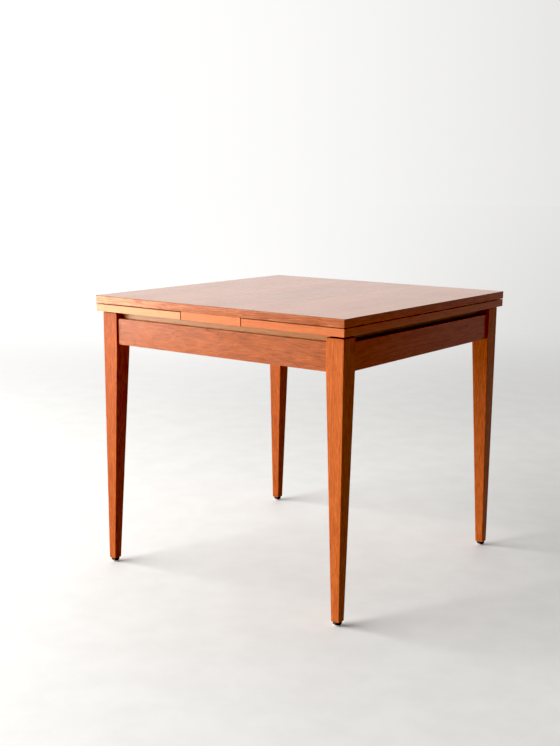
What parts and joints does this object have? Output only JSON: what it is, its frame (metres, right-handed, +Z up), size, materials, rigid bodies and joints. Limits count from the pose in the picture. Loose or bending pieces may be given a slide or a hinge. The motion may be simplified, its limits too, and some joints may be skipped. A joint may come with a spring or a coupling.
{
  "type": "draw-leaf dining table",
  "caption": "Square teak dining table on tapered legs, with two leaves under a loose top that draw out at the ends to lengthen it.",
  "frame": {"origin": "on the floor, below the middle of the closed top", "axes": "+Z up; X is the direction that the leaves draw out in, +X towards the right leaf; +Y towards the back, along the wider side of the top"},
  "size_m": [0.78, 0.8, 0.735],
  "materials": {
    "teak_veneer": "teak veneer, satin lacquer, straight fine grain",
    "teak_lipping": "solid teak edge, satin lacquer",
    "teak_frame": "solid teak, satin oil",
    "beech": "bare beech, planed, dulled with age",
    "glide_cushion": "matt black",
    "glide_cap": "worn nickel",
    "zinc_hardware": "dull zinc"
  },
  "bodies": {
    "frame": {"centre_board": "beech", "centre_board_lipping_back": "teak_lipping", "centre_board_lipping_front": "teak_lipping", "corner_block_back_left": "beech", "corner_block_back_right": "beech", "corner_block_front_left": "beech", "corner_block_front_right": "beech", "cross_rail_left": "beech", "cross_rail_right": "beech", "end_apron_left": "teak_frame", "end_apron_right": "teak_frame", "glide_cap_back_left": "glide_cap", "glide_cap_back_right": "glide_cap", "glide_cap_front_left": "glide_cap", "glide_cap_front_right": "glide_cap", "glide_cushion_back_left": "glide_cushion", "glide_cushion_back_right": "glide_cushion", "glide_cushion_front_left": "glide_cushion", "glide_cushion_front_right": "glide_cushion", "leg_back_left": "teak_frame", "leg_back_right": "teak_frame", "leg_front_left": "teak_frame", "leg_front_right": "teak_frame", "side_apron_back": "teak_frame", "side_apron_front": "teak_frame", "side_rail_back": "beech", "side_rail_front": "beech"},
    "top": {"guide_peg_back": "beech", "guide_peg_front": "beech", "peg_screw_back": "zinc_hardware", "peg_screw_front": "zinc_hardware", "peg_washer_back": "zinc_hardware", "peg_washer_front": "zinc_hardware", "top_lipping_back": "teak_lipping", "top_lipping_front": "teak_lipping", "top_lipping_left": "teak_lipping", "top_lipping_right": "teak_lipping", "top_panel": "teak_veneer"},
    "leaf_left": {"leaf_left_batten": "beech", "leaf_left_bearer_back": "beech", "leaf_left_bearer_front": "beech", "leaf_left_lipping_back": "teak_lipping", "leaf_left_lipping_front": "teak_lipping", "leaf_left_lipping_inner": "teak_lipping", "leaf_left_lipping_outer": "teak_lipping", "leaf_left_panel": "teak_veneer", "leaf_left_stop_block_back": "beech", "leaf_left_stop_block_front": "beech"},
    "leaf_right": {"leaf_right_batten": "beech", "leaf_right_bearer_back": "beech", "leaf_right_bearer_front": "beech", "leaf_right_lipping_back": "teak_lipping", "leaf_right_lipping_front": "teak_lipping", "leaf_right_lipping_inner": "teak_lipping", "leaf_right_lipping_outer": "teak_lipping", "leaf_right_panel": "teak_veneer", "leaf_right_stop_block_back": "beech", "leaf_right_stop_block_front": "beech"}
  },
  "joints": [
    {"name": "leaf_left_draw", "type": "slide", "parent": "frame", "child": "leaf_left", "axis": [-1, 0, 0], "range_m": [0, 0.2965]},
    {"name": "leaf_right_draw", "type": "slide", "parent": "frame", "child": "leaf_right", "axis": [1, 0, 0], "range_m": [0, 0.2965]},
    {"name": "top_lift", "type": "slide", "parent": "frame", "child": "top", "axis": [0, 0, 1], "range_m": [0, 0.026]}
  ]
}
